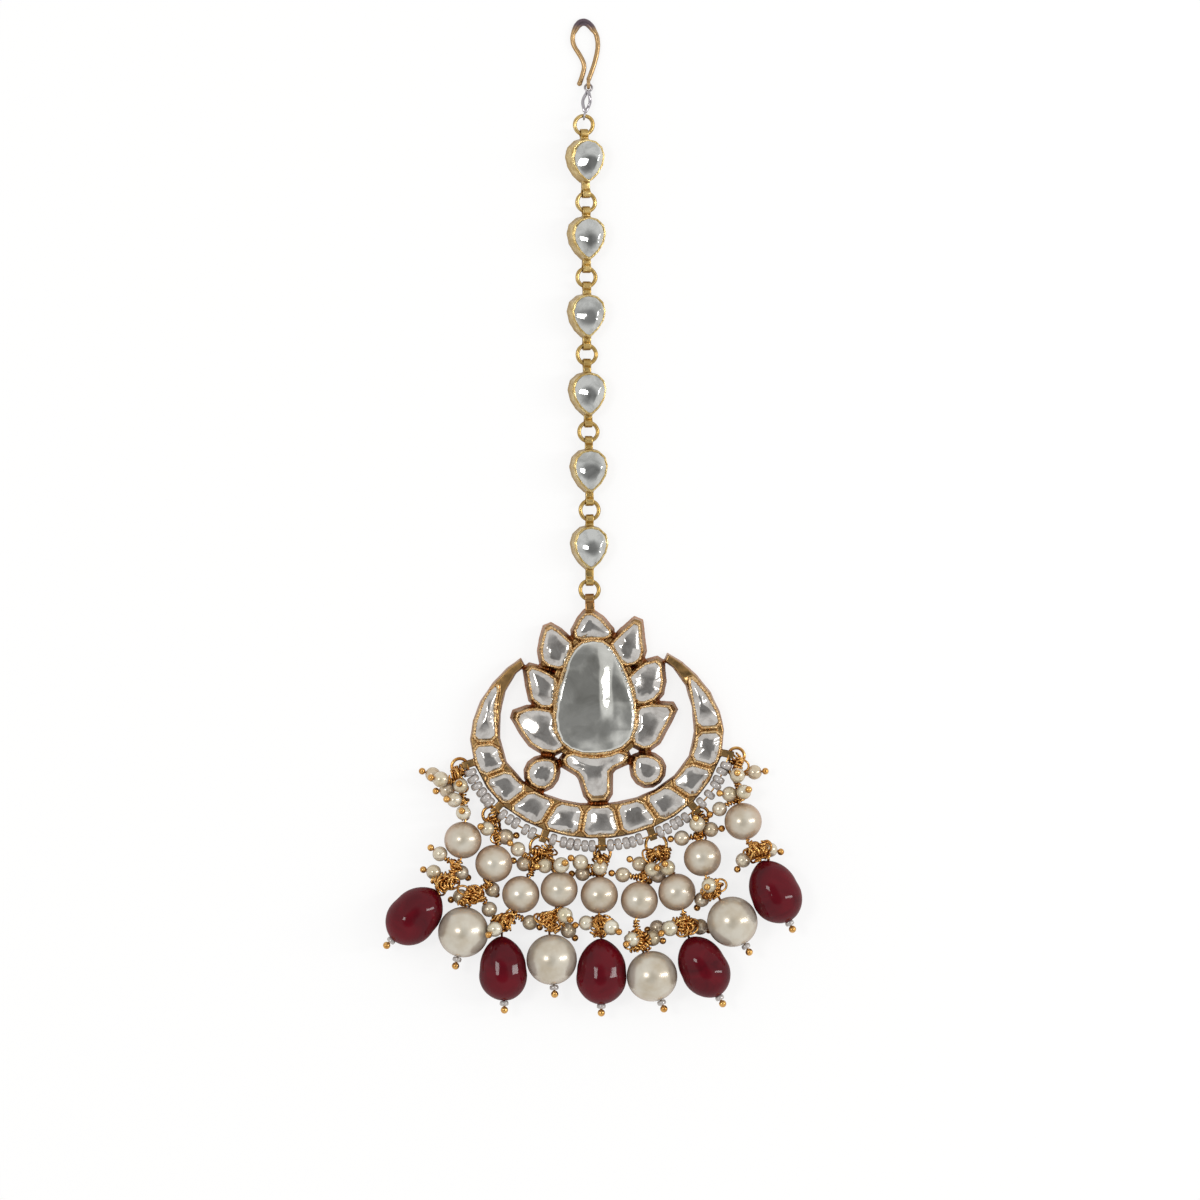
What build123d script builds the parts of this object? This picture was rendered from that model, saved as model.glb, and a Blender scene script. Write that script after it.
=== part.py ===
from build123d import *
import math
import os

# A maang tikka lying on its back: hair hook, twisted wire, six teardrop links on jump rings, a lotus
# pendant in a stone-set crescent, and a fringe of nine pearl and bead dangles.
# Millimetres. +Y runs from the pendant to the hook, +Z is the face, z = 0 is the pendant's flat back.
# The origin lies on that back, under the large centre stone.

os.makedirs("parts", exist_ok=True)

# ---- driving dimensions ----
GAP = 0.12                 # clearance between a stone and its cell
BORE_GAP = 0.13            # clearance between a wire and the bead on it
RIM = 0.5                  # thickness of a cell's gold rim at the top
FLARE = 0.65               # how much wider a cell is at its back than at its rim
CRESCENT_FLARE = 0.3       # and the crescent
FLOOR = (1.5, 2.5)         # the plate that joins the petals: reach past the centre stone, height
WALL_TOP = 3.3             # height of the petal and crescent rims
CENTRE_WALL_TOP = 3.7      # height of the centre stone's rim
BACK_PLATE = 0.8           # gold behind the stones
STONE_TOP = 4.5            # height of the small stones' tables
CENTRE_TOP = 6.0           # height of the centre stone's table
GIRDLE_DEPTH = 0.5         # how far below its cell's rim a stone starts to narrow
PENDANT_TURN = 2.0         # the pendant lies turned this many degrees

CRESCENT_OUTER = (22.0, 17.9)     # half axes of the crescent's outer edge
CRESCENT_INNER = (17.25, 12.3)    # half axes of its inner edge
BAR_WIDTH = 1.24                  # gold bar between two crescent stones
BAR_ANGLES = (182, 198.5, 216.5, 236.5, 258.5, 282, 304, 323.7, 342, 360.6)

CHAIN_RING = (1.63, 0.30)  # radius of a jump ring to its wire's centre, radius of the wire
STRIP_LOOP = (0.85, 0.55)  # outer and inner radius of the strip loop on a setting
STRIP_WIDTH = 1.4
LOOP_REACH = 1.55          # from the centre of a jump ring to that of a strip loop on it
CUP_SIZE = (3.05, 3.75)    # half width and half length of a teardrop setting's rim
CUP_POINT = 0.55           # how sharp its tip is
CUP_TOP = 3.2
CUP_RIM = 0.42             # thickness of that rim
BAIL_LOOP = (0.9, 0.6)     # outer and inner radius of the pendant's own loop
BAIL_WIDTH = 1.6
BAIL_REACH = 1.52          # from the centre of the last jump ring to that of the pendant's loop
BAIL_HEIGHT = 1.45

TAB_ANGLES = (190.4, 213.5, 239.8, 270.6, 297.6, 321.8, 350.0)
TAB_SIZE = (1.3, 2.7)      # width along the edge, height
TAB_HOLE = 0.52
TAB_REACH = 1.5            # from the crescent's edge to the tab's hole
TAB_HEIGHT = 1.15          # height of that hole and of the rings in it
RING_WIRE = 0.28
EYE_WIRE = 0.2
TOP_EYE = 0.75             # radius of the eye that hangs on a tab ring
JOINT_EYE = 0.85           # radius of the two eyes that join a row pearl to its drop
JOINT_REACH = 0.95         # from the centre of one of those eyes to the other
PIN_WIRE = 0.16
ROW_PEARL = 3.25
BUNCH_PEARL = 1.25
PIN_BALL = 0.6
END_BALL = 0.65
SEED_ROD = 1.0             # radius of the strand of seed beads
SEED_HEIGHT = 2.55
EYE_LIFT = 0.4             # clear wire between a drop and the eye it hangs by
BEND_LIFT = 0.35           # clear wire between a row pearl and the bend beside it
DROP_SEED = (0.75, 0.8)    # radius and length of the seed bead under a drop
SEED_MARGIN = 4.3          # degrees of the crescent left free beside a tab


# ---- outlines: counter-clockwise lists of (x, y) ----
def grow(points, amount):
    """The outline with every edge moved outward by amount."""
    moved = []
    for i, (x, y) in enumerate(points):
        x0, y0 = points[i - 1]
        x1, y1 = points[(i + 1) % len(points)]
        before = math.hypot(x - x0, y - y0)
        after = math.hypot(x1 - x, y1 - y)
        nx, ny = (y - y0) / before, (x0 - x) / before
        mx, my = (y1 - y) / after, (x - x1) / after
        reach = amount / (1 + nx * mx + ny * my)
        moved.append((x + reach * (nx + mx), y + reach * (ny + my)))
    return moved


def blunt(points, cut, limit=60):
    """The outline with each corner that turns more than limit degrees cut off."""
    result = []
    for i, (x, y) in enumerate(points):
        x0, y0 = points[i - 1]
        x1, y1 = points[(i + 1) % len(points)]
        into, out = math.atan2(y - y0, x - x0), math.atan2(y1 - y, x1 - x)
        turn = math.degrees((out - into + math.pi) % (2 * math.pi) - math.pi)
        if turn < limit:
            result.append((x, y))
            continue
        back = min(cut, 0.3 * math.hypot(x - x0, y - y0))
        ahead = min(cut, 0.3 * math.hypot(x1 - x, y1 - y))
        result.append((x - back * math.cos(into), y - back * math.sin(into)))
        result.append((x + ahead * math.cos(out), y + ahead * math.sin(out)))
    return result


def shrink(points, scale):
    """The outline drawn smaller about its middle."""
    cx = sum(x for x, _ in points) / len(points)
    cy = sum(y for _, y in points) / len(points)
    return [(cx + (x - cx) * scale, cy + (y - cy) * scale) for x, y in points]


def pear(half_width, half_length, point, sides, centre=(0, 0), turn=0):
    """A pear with its tip up: point is 0 for an ellipse and 1 for a sharp teardrop."""
    widest = max(math.sin(k / 50) * math.sin(k / 100) ** point for k in range(1, 157))
    points = []
    for k in range(sides):
        angle = 2 * math.pi * k / sides
        x = -math.sin(angle) * abs(math.sin(angle / 2)) ** point / widest * half_width
        y = math.cos(angle) * half_length
        a = math.radians(turn)
        points.append((centre[0] + x * math.cos(a) - y * math.sin(a),
                       centre[1] + x * math.sin(a) + y * math.cos(a)))
    return points


def on_ellipse(axes, angle, inset=0.0):
    """The point of an ellipse at a polar angle in degrees, with both half axes cut by inset."""
    a, b = axes[0] - inset, axes[1] - inset
    c, s = math.cos(math.radians(angle)), math.sin(math.radians(angle))
    radius = a * b / math.hypot(b * c, a * s)
    return radius * c, radius * s


# ---- solids ----
def stack(levels):
    """A closed solid through outlines with the same number of points, as (height, outline)."""
    rings = [[Vector(x, y, z) for x, y in points] for z, points in levels]
    faces = [Face(Wire.make_polygon(rings[0])), Face(Wire.make_polygon(rings[-1]))]
    for low, high in zip(rings, rings[1:]):
        for i in range(len(low)):
            j = (i + 1) % len(low)
            faces.append(Face(Wire.make_polygon([low[i], low[j], high[j], high[i]])))
    return Solid(Shell(faces))


def cell_wall(points, top=WALL_TOP):
    """The flared body of a stone's cell."""
    return stack([(0, grow(points, RIM + FLARE)), (top, grow(points, RIM))])


def pocket(points, top=WALL_TOP):
    """The room for a stone in its cell."""
    return stack([(BACK_PLATE, points), (top + 1, points)])


def cut_stone(points, girdle, top, tables):
    """A stone that fills its cell up to the girdle, then steps in to a flat table."""
    body = grow(points, -GAP)
    levels = [(BACK_PLATE + GAP, body), (girdle, body)]
    for share, scale in tables:
        levels.append((girdle + share * (top - girdle), shrink(body, scale)))
    return stack(levels)


def small_stone(points):
    return cut_stone(blunt(points, 0.7), WALL_TOP - GIRDLE_DEPTH, STONE_TOP, [(0.55, 0.9), (1.0, 0.62)])


def ring(radius, wire, centre, normal=(0, 0, 1)):
    """A round wire ring."""
    return Plane(origin=centre, z_dir=normal) * Torus(radius, wire)


def rod(start, end, radius):
    """A straight round bar."""
    way = Vector(*end) - Vector(*start)
    return Plane(origin=start, z_dir=way) * Cylinder(
        radius, way.length, align=(Align.CENTER, Align.CENTER, Align.MIN))


def bent_rod(points, radius, bends):
    """A round wire along straight runs joined by arcs of the given radii."""
    path = Wire(FilletPolyline(*points, radius=bends))
    return sweep(Plane(path @ 0, z_dir=path % 0) * Circle(radius), path=path)


def bead(body, centre, way, wire):
    """A round body about the Z axis, drilled for a wire and set on it."""
    return Plane(origin=centre, z_dir=way) * (body - Cylinder(wire + BORE_GAP, 20))


def ball(centre, radius):
    return Pos(*centre) * Sphere(radius)


def write(node, *solids):
    """One file per node: a single solid, or the node's loose solids."""
    loose = [solid for shape in solids for solid in shape.solids()]
    export_step(loose[0] if len(loose) == 1 else Compound(loose), f"parts/{node}.step")


# ---- the chain ----
# jump rings from the hook down: centre x and y
CHAIN_RINGS = [(-2.3, 106.6), (-1.9, 93.1), (-1.85, 80.0), (-1.8, 66.5), (-1.5, 53.0), (-1.3, 39.3),
               (-1.3, 25.35)]
# links from the hook down: y of the cup's middle, roll about the chain in degrees
LINKS = [(100.25, 16), (86.75, 13), (73.2, 11), (59.55, 10), (46.15, 9), (32.7, 8)]
LOOP_HEIGHT = 1.0
CUP_BACK = CUP_SIZE[0] + FLARE / 2


def link_lift(roll):
    """How far a rolled cup's middle is raised when its lower edge rests on the ground."""
    return CUP_BACK * math.sin(math.radians(roll))


def chain_ring_pose(index):
    """Height and roll of a jump ring between its two neighbours."""
    loops = [(LOOP_HEIGHT * math.cos(math.radians(roll)) + link_lift(roll), roll) for _, roll in LINKS]
    loops.append((BAIL_HEIGHT, 0))
    near = loops[max(index - 1, 0):index + 1]
    return sum(height for height, _ in near) / len(near), sum(roll for _, roll in near) / len(near)


def strip_loop(y, cup_end):
    """A strip bent round a jump ring at y and soldered to the cup."""
    outer, inner = STRIP_LOOP
    side = 1 if y > cup_end else -1
    start = y - side * (inner + 0.05)
    loop = Pos(0, y, LOOP_HEIGHT) * Rot(0, 90, 0) * Cylinder(outer, STRIP_WIDTH)
    neck = Pos(0, (start + cup_end) / 2, LOOP_HEIGHT) * Box(STRIP_WIDTH, abs(start - cup_end), 1.0)
    return loop + neck - Pos(0, y, LOOP_HEIGHT) * Rot(0, 90, 0) * Cylinder(inner, 2 * STRIP_WIDTH)


def link_place(index):
    """Where a link lies: its axis runs from the jump ring below to the one above."""
    (x1, y1), (x0, y0) = CHAIN_RINGS[index], CHAIN_RINGS[index + 1]
    y, roll = LINKS[index]
    x = x0 + (x1 - x0) * (y - y0) / (y1 - y0)
    turn = math.degrees(math.atan2(x0 - x1, y1 - y0))
    sideways = LOOP_HEIGHT * math.sin(math.radians(roll))
    return Pos(x - sideways, y, link_lift(roll)) * Rot(0, 0, turn) * Rot(0, roll, 0)


def link(index):
    """A teardrop cup with its two strip loops, and the stone in it."""
    y = LINKS[index][0]
    cup_outline = pear(*CUP_SIZE, CUP_POINT, 14, turn=180)
    cell = grow(cup_outline, -CUP_RIM)
    cup = stack([(0, grow(cup_outline, FLARE / 2)), (CUP_TOP, cup_outline)])
    cup += strip_loop(CHAIN_RINGS[index][1] - LOOP_REACH - y, CUP_SIZE[1] - 0.3)
    cup += strip_loop(CHAIN_RINGS[index + 1][1] + LOOP_REACH - y, 0.8 - CUP_SIZE[1])
    cup -= stack([(BACK_PLATE, cell), (CUP_TOP + 1, cell)])
    stone = cut_stone(cell, CUP_TOP - 0.4, STONE_TOP, [(0.55, 0.9), (1.0, 0.62)])
    place = link_place(index)
    return place * cup, place * stone


def chain():
    for index in range(len(CHAIN_RINGS)):
        x, y = CHAIN_RINGS[index]
        height, roll = chain_ring_pose(index)
        lean = math.radians(roll)
        body = ring(*CHAIN_RING, (x, y, height), (math.sin(lean), 0, math.cos(lean)))
        write(f"jump_ring_{index + 1}", body)
    for index in range(len(LINKS)):
        cup, stone = link(index)
        write(f"link_setting_{index + 1}", cup)
        write(f"link_stone_{index + 1}", stone)


HOOK_WIRE = 0.4
HOOK_EYE = (-1.5, 113.85, 1.02)
# the hook's wire from its eye round to its free end: x, y, z
HOOK_ROUTE = [(-1.5, 114.5, 1.02), (-0.75, 116.4, 0.9), (-0.12, 118.6, 0.7), (0.22, 120.6, 0.5),
              (-0.05, 122.5, 0.42), (-0.9, 124.0, 0.42), (-2.3, 124.75, 0.42), (-3.6, 124.05, 0.42),
              (-4.35, 122.3, 0.42), (-4.15, 120.6, 0.42), (-3.1, 119.1, 0.42), (-2.25, 117.5, 0.42),
              (-2.25, 116.1, 0.42), (-3.05, 113.95, 0.42)]
TWIST_WIRE = 0.18
TWIST_EYES = (0.66, 0.7)    # radius of the twisted wire's eye on the hook and of the one on the ring


def hook():
    """The shepherd's hook that goes into the hair, with a small eye bent at its lower end."""
    bends = [1.6, 2.6, 2.6, 2.6, 1.8, 1.3, 1.3, 1.6, 1.8, 2.0, 1.6, 1.6]
    wire = bent_rod(HOOK_ROUTE, HOOK_WIRE, bends)
    return wire + ring(0.68, 0.3, HOOK_EYE, (1, 0, 0)) + ball(HOOK_ROUTE[-1], HOOK_WIRE)


def twisted_loop():
    """Silver wire twisted into a shank, with a flat eye in the hook and an upright one in the ring."""
    x, y, _ = HOOK_EYE
    height, _ = chain_ring_pose(0)
    low_x, low_y = CHAIN_RINGS[0]
    top = (x, y - TWIST_EYES[0], HOOK_EYE[2])
    bottom = (low_x + 0.1, low_y + CHAIN_RING[0], height)
    way = Vector(*bottom) - Vector(*top)
    across = Vector(-way.Y, way.X, 0)
    step = way.normalized()
    shank_top = Vector(*top) + step * TWIST_EYES[0]
    shank_bottom = Vector(*bottom) - step * TWIST_EYES[1]
    body = rod(shank_top, shank_bottom, 2 * TWIST_WIRE)
    body += ring(TWIST_EYES[0], TWIST_WIRE, top)
    return body + ring(TWIST_EYES[1], TWIST_WIRE, bottom, across)


# ---- the pendant, in its own frame ----
# the centre stone's right half from the top down: x, y
CENTRE_HALF = [(1.5, 16.05), (2.75, 15.1), (3.65, 13.8), (4.45, 12.2), (5.25, 10.2), (6.0, 7.9),
               (6.5, 5.4), (6.65, 3.2), (6.4, 0.9), (5.6, -0.9), (4.2, -2.1), (2.3, -2.8)]
CENTRE_LEFT = [(-0.44 - x, y) for x, y in CENTRE_HALF]
CENTRE_STONE = [(-0.22, 16.35), *CENTRE_LEFT, (-0.22, -3.0), *CENTRE_HALF[::-1]]
PETALS = {
    "petal_stone_top": [(-0.7, 21.3), (-2.0, 19.9), (-2.9, 18.3), (-2.8, 17.2), (2.6, 17.2),
                        (2.6, 18.1), (1.1, 20.0)],
    "petal_stone_upper_left": [(-7.8, 19.0), (-8.5, 16.9), (-8.9, 15.0), (-8.6, 12.9), (-5.5, 12.1),
                               (-4.8, 13.5), (-4.2, 15.1), (-4.3, 16.2), (-6.3, 18.1)],
    "petal_stone_upper_right": [(7.7, 19.5), (5.5, 17.7), (3.5, 15.8), (3.8, 14.3), (5.0, 12.3),
                                (7.5, 12.7), (8.1, 14.5), (7.9, 17.0)],
    "petal_stone_mid_left": [(-11.5, 12.0), (-11.2, 9.0), (-10.8, 6.9), (-9.4, 5.7), (-7.6, 5.5),
                             (-7.3, 7.5), (-6.8, 9.6), (-8.2, 10.7), (-9.5, 11.4)],
    "petal_stone_mid_right": [(11.2, 12.4), (9.0, 11.9), (7.6, 11.0), (6.3, 9.8), (6.9, 7.0),
                              (7.2, 5.8), (8.5, 5.7), (10.0, 6.2), (11.0, 7.2), (11.4, 9.0)],
    "petal_stone_lower_left": [(-14.1, 3.9), (-12.8, 1.5), (-11.3, -0.8), (-9.5, -2.0), (-7.5, -2.3),
                               (-5.9, -1.5), (-6.6, -0.3), (-7.4, 1.5), (-7.5, 4.1), (-10.0, 4.6),
                               (-12.0, 4.6)],
    "petal_stone_lower_right": [(13.3, 4.3), (11.0, 4.5), (9.5, 4.6), (7.3, 4.3), (7.0, 1.5),
                                (6.3, 0.0), (6.8, -1.5), (8.5, -2.4), (10.2, -1.2), (12.0, 1.9)],
}
LEAVES = {
    "leaf_stone_left": pear(2.1, 2.35, 0.4, 14, (-9.7, -6.2), -47),
    "leaf_stone_right": pear(2.1, 2.35, 0.4, 14, (8.5, -6.2), 42),
}
STEM_STONE = [(-5.9, -4.5), (-3.3, -6.2), (-2.6, -7.2), (-1.75, -10.2), (-1.2, -10.9), (0.8, -10.9),
              (1.35, -10.1), (1.5, -6.3), (2.5, -5.3), (4.9, -4.4), (4.4, -3.1), (2.2, -3.9),
              (-0.25, -4.15), (-2.7, -3.9), (-4.8, -3.2)]
HORN_STONES = [
    [(-21.35, -0.1), (-17.85, -0.1), (-17.9, 4.8), (-17.1, 9.0), (-17.6, 9.2), (-19.4, 6.6),
     (-20.8, 3.0)],
    [(17.8, 0.9), (21.35, 0.9), (20.8, 3.4), (19.1, 6.6), (17.0, 9.2), (16.6, 9.1), (17.2, 5.0)],
]
# the horns of the crescent, from the tip outward and down, and from the inner edge up to the tip
HORN_OUTER = [(12.9, 13.6), (15.1, 12.1), (17.7, 9.6), (19.9, 6.6), (21.4, 3.2)]
HORN_INNER = [(17.0, 4.2), (16.0, 8.2), (13.9, 11.4), (12.4, 12.6)]


def crescent_outline():
    """The whole crescent: down the left horn, round below, up the right and back inside."""
    left = [(-x, y) for x, y in HORN_OUTER]
    below = [on_ellipse(CRESCENT_OUTER, angle) for angle in range(180, 361, 12)]
    inside = [on_ellipse(CRESCENT_INNER, angle) for angle in range(360, 179, -15)]
    return left + below + HORN_OUTER[::-1] + HORN_INNER[::-1] + inside + [(-x, y) for x, y in HORN_INNER]


def crescent_cell(first, second):
    """The cell between two bars of the crescent."""
    def corner(axes, angle, side, inset):
        x, y = on_ellipse(axes, angle, inset)
        shift = math.degrees(BAR_WIDTH / 2 / math.hypot(x, y))
        return on_ellipse(axes, angle + side * shift, inset)

    middle = (first + second) / 2
    return [corner(CRESCENT_OUTER, first, 1, RIM), on_ellipse(CRESCENT_OUTER, middle, RIM),
            corner(CRESCENT_OUTER, second, -1, RIM), corner(CRESCENT_INNER, second, -1, -RIM),
            on_ellipse(CRESCENT_INNER, middle, -RIM), corner(CRESCENT_INNER, first, 1, -RIM)]


def crescent_cells():
    cells = [crescent_cell(a, b) for a, b in zip(BAR_ANGLES, BAR_ANGLES[1:])]
    return cells + HORN_STONES


def tab_point(angle, reach):
    """A point outward from the crescent's edge, and the outward direction there."""
    x, y = on_ellipse(CRESCENT_OUTER, angle)
    nx, ny = x / CRESCENT_OUTER[0] ** 2, y / CRESCENT_OUTER[1] ** 2
    size = math.hypot(nx, ny)
    nx, ny = nx / size, ny / size
    return (x + reach * nx, y + reach * ny), (nx, ny)


def tab(angle):
    """A small box on the crescent's edge with a hole along the edge for a ring."""
    (x, y), (nx, ny) = tab_point(angle, TAB_REACH)
    frame = Plane(origin=(x, y, TAB_HEIGHT), x_dir=(nx, ny, 0), z_dir=(0, 0, 1))
    width, height = TAB_SIZE
    inner, outer = TAB_REACH + 0.4, TAB_HOLE + 0.3
    block = Pos((outer - inner) / 2, 0, height / 2 - TAB_HOLE - 0.28) * Box(inner + outer, width, height)
    hole = Rot(90, 0, 0) * Cylinder(TAB_HOLE, 2 * width)
    return frame * (block - hole)


def bail():
    """The strip loop at the pendant's top."""
    ring_x, ring_y = CHAIN_RINGS[-1]
    turn = math.radians(-PENDANT_TURN)
    below = ring_y - BAIL_REACH
    x = ring_x * math.cos(turn) - below * math.sin(turn)
    y = ring_x * math.sin(turn) + below * math.cos(turn)
    outer, inner = BAIL_LOOP
    lying = Pos(x, y, BAIL_HEIGHT) * Rot(0, 90, 0)
    neck_start, neck_end = 20.9, y - inner - 0.05
    neck = Box(BAIL_WIDTH, neck_end - neck_start, 1.3)
    neck = Pos(x, (neck_start + neck_end) / 2, BAIL_HEIGHT - 0.1) * neck
    return lying * Cylinder(outer, BAIL_WIDTH) + neck, lying * Cylinder(inner, 2 * BAIL_WIDTH)


def pendant_frame():
    """All the cells, the crescent, the bail and the tabs, soldered to one piece."""
    body = stack([(0, grow(crescent_outline(), CRESCENT_FLARE)), (WALL_TOP, crescent_outline())])
    reach, height = FLOOR
    body += stack([(0, grow(CENTRE_STONE, reach)), (height, grow(CENTRE_STONE, reach))])
    pockets = [pocket(cell) for cell in crescent_cells()]
    for cell in [*PETALS.values(), *LEAVES.values(), STEM_STONE]:
        body += cell_wall(blunt(cell, 0.35, 75))
        pockets.append(pocket(cell))
    body += cell_wall(CENTRE_STONE, CENTRE_WALL_TOP)
    pockets.append(pocket(CENTRE_STONE, CENTRE_WALL_TOP))
    loop, loop_hole = bail()
    body += loop
    for angle in TAB_ANGLES:
        body += tab(angle)
    for room in pockets:
        body -= room
    return body - loop_hole


def pendant():
    turn = Rot(0, 0, PENDANT_TURN)
    write("pendant_frame", turn * pendant_frame())
    steps = [(0.45, 0.95), (0.85, 0.8), (1.0, 0.52)]
    dome = cut_stone(CENTRE_STONE, CENTRE_WALL_TOP - GIRDLE_DEPTH, CENTRE_TOP, steps)
    write("centre_stone", turn * dome)
    for node, cell in [*PETALS.items(), *LEAVES.items(), ("stem_stone", STEM_STONE)]:
        write(node, turn * small_stone(cell))
    write("crescent_stones", *[turn * small_stone(cell) for cell in crescent_cells()])


# ---- the fringe ----
# dangles from the left: tab that carries it, radius of the tab's ring, row pearl, kind of drop,
# middle of the drop, and how far the drop's foot swings to the right in degrees
DANGLES = [
    (1, 1.4, (-23.4, -18.3), "ruby", (-31.7, -31.3), -43),
    (2, 1.4, (-18.0, -22.4), "pearl", (-23.3, -34.3), -13),
    (3, 1.8, (-13.3, -27.8), "ruby", (-16.4, -40.6), 2),
    (3, 1.8, (-6.6, -26.9), "pearl", (-7.9, -39.1), 5),
    (4, 1.4, (0.4, -27.9), "ruby", (0.75, -41.1), 0),
    (5, 1.8, (7.4, -28.8), "pearl", (9.6, -42.0), 20),
    (5, 1.8, (13.95, -27.4), "ruby", (18.6, -40.3), 27),
    (6, 1.4, (18.4, -21.4), "pearl", (23.6, -32.5), 29),
    (7, 1.4, (25.5, -15.05), "ruby", (31.0, -27.2), 25),
]
# half width and half length of each kind of drop
DROP_SIZES = {"ruby": (4.05, 5.65), "pearl": (4.4, 4.4)}
# the height of its middle: an egg is a little fuller than its half width between two arcs
DROP_HEIGHTS = {"ruby": 4.12, "pearl": 4.4}
# small pearls round the wire above each row pearl, by dangle: x, y, z
UPPER_BUNCHES = {
    1: [(-28.7, -6.9, 1.4), (-27.3, -7.7, 3.5), (-26.2, -9.6, 1.7), (-23.8, -8.8, 3.5),
        (-24.9, -11.3, 3.7), (-23.3, -13.5, 4.6)],
    2: [(-19.2, -16.3, 3.6), (-15.95, -17.8, 1.5)],
    3: [(-13.8, -19.9, 3.0), (-12.75, -22.5, 1.45)],
    4: [(-9.1, -22.8, 3.5), (-6.2, -22.6, 4.9)],
    5: [(-2.9, -22.2, 3.4), (0.5, -23.1, 3.6), (-2.5, -24.2, 1.6)],
    6: [(4.5, -24.4, 2.4), (7.4, -22.5, 2.2), (9.6, -23.4, 3.9)],
    7: [(12.3, -23.1, 4.0), (10.7, -24.5, 1.6)],
    8: [(14.8, -18.0, 2.2), (17.5, -15.5, 3.6), (19.9, -16.5, 2.0)],
    9: [(24.5, -7.0, 3.5), (27.5, -6.5, 2.0), (23.1, -10.25, 3.2), (25.6, -9.9, 4.1),
        (21.4, -12.9, 2.6)],
}
# and below each row pearl
LOWER_BUNCHES = {
    1: [(-27.4, -20.7, 3.4), (-28.5, -23.9, 3.2), (-23.7, -24.0, 2.8)],
    2: [(-23.8, -28.2, 3.0), (-18.8, -30.4, 3.0), (-18.3, -26.95, 2.45)],
    3: [(-17.8, -33.7, 6.5), (-11.7, -32.7, 3.0)],
    4: [(-5.6, -31.3, 5.6), (-5.0, -34.1, 2.7)],
    5: [(2.5, -33.4, 6.0), (-1.9, -32.7, 4.6)],
    6: [(6.1, -35.5, 5.9), (9.7, -35.4, 3.5)],
    7: [(12.7, -33.6, 5.5), (10.5, -33.6, 1.7), (18.0, -33.5, 2.15)],
    8: [(19.5, -26.1, 6.0), (18.3, -28.7, 2.5)],
    9: [(25.5, -21.8, 3.4), (30.2, -20.0, 3.4)],
}


def lying(point):
    """A point of the pendant's frame as it lies, turned."""
    turn = math.radians(PENDANT_TURN)
    x, y = point
    return x * math.cos(turn) - y * math.sin(turn), x * math.sin(turn) + y * math.cos(turn)


def ring_centre(number, radius):
    """The middle of the ring in a tab."""
    point, _ = tab_point(TAB_ANGLES[number - 1], TAB_REACH + radius - 0.1)
    return Vector(*lying(point), TAB_HEIGHT)


def flat_way(start, end):
    """The level direction from one point to another."""
    way = end - start
    return Vector(way.X, way.Y, 0).normalized()


def dangle_route(number):
    """The named points along one dangle, from its tab ring to the ball at its foot."""
    tab_number, radius, (pearl_x, pearl_y), kind, (drop_x, drop_y), swing = DANGLES[number - 1]
    half_length = DROP_SIZES[kind][1]
    ring_middle = ring_centre(tab_number, radius)
    pearl = Vector(pearl_x, pearl_y, ROW_PEARL)
    drop = Vector(drop_x, drop_y, DROP_HEIGHTS[kind])
    down = Vector(math.sin(math.radians(swing)), -math.cos(math.radians(swing)), 0)
    hanging_eye = drop - down * (half_length + EYE_LIFT + JOINT_EYE)
    joint = hanging_eye - down * JOINT_REACH
    bore = (joint - ring_middle).normalized()
    above = pearl - bore * (ROW_PEARL + BEND_LIFT)
    below = pearl + bore * (ROW_PEARL + BEND_LIFT)
    entry = flat_way(ring_middle, above)
    top_eye = ring_middle + entry * (radius + 0.1)
    return {
        "tab": tab_number, "kind": kind, "ring": ring_middle, "pearl": pearl, "drop": drop, "down": down,
        "hanging_eye": hanging_eye, "joint": joint, "bore": bore, "above": above, "below": below,
        "top_eye": top_eye, "top_start": top_eye + entry * TOP_EYE,
        "joint_end": joint + flat_way(joint, below) * JOINT_EYE,
        "seed": drop + down * (half_length + 0.5), "foot": drop + down * (half_length + 1.65),
    }


def nearest_on(start, end, point):
    """The point of a straight wire nearest to a pearl."""
    way = end - start
    share = (point - start).dot(way) / way.dot(way)
    return start + way * min(max(share, 0.1), 0.9)


def bunch(places, start, end):
    """For each small pearl of a bunch: the foot of its pin on the wire, the pearl and the pin's ball."""
    pins = []
    for place in places:
        middle = Vector(*place)
        foot = nearest_on(start, end, middle)
        way = (middle - foot).normalized()
        pins.append((foot, middle, middle + way * (BUNCH_PEARL + 0.1 + PIN_BALL)))
    return pins


def bunches(number):
    route = dangle_route(number)
    upper = bunch(UPPER_BUNCHES[number], route["top_start"], route["above"])
    return upper + bunch(LOWER_BUNCHES[number], route["below"], route["joint_end"])


def pearl_pin(number):
    """The wire through a row pearl, with an eye at each end and the ball-ended pins of both bunches."""
    route = dangle_route(number)
    body = bent_rod([route["top_start"], route["above"], route["below"], route["joint_end"]], EYE_WIRE,
                    [0.6, 0.4])
    side = Vector(0, 0, 1).cross(flat_way(route["ring"], route["above"]))
    body += ring(TOP_EYE, EYE_WIRE + 0.02, route["top_eye"], side)
    body += ring(JOINT_EYE, EYE_WIRE + 0.02, route["joint"])
    for foot, _, end in bunches(number):
        body += rod(foot, end, PIN_WIRE)
        body += ball(end, PIN_BALL)
    return body


def drop_pin(number):
    """The wire through a drop, with an upright eye above and a ball below."""
    route = dangle_route(number)
    down = route["down"]
    body = rod(route["hanging_eye"] + down * JOINT_EYE, route["foot"], EYE_WIRE)
    body += ring(JOINT_EYE, EYE_WIRE + 0.02, route["hanging_eye"], Vector(0, 0, 1).cross(down))
    return body + ball(route["foot"], END_BALL)


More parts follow.
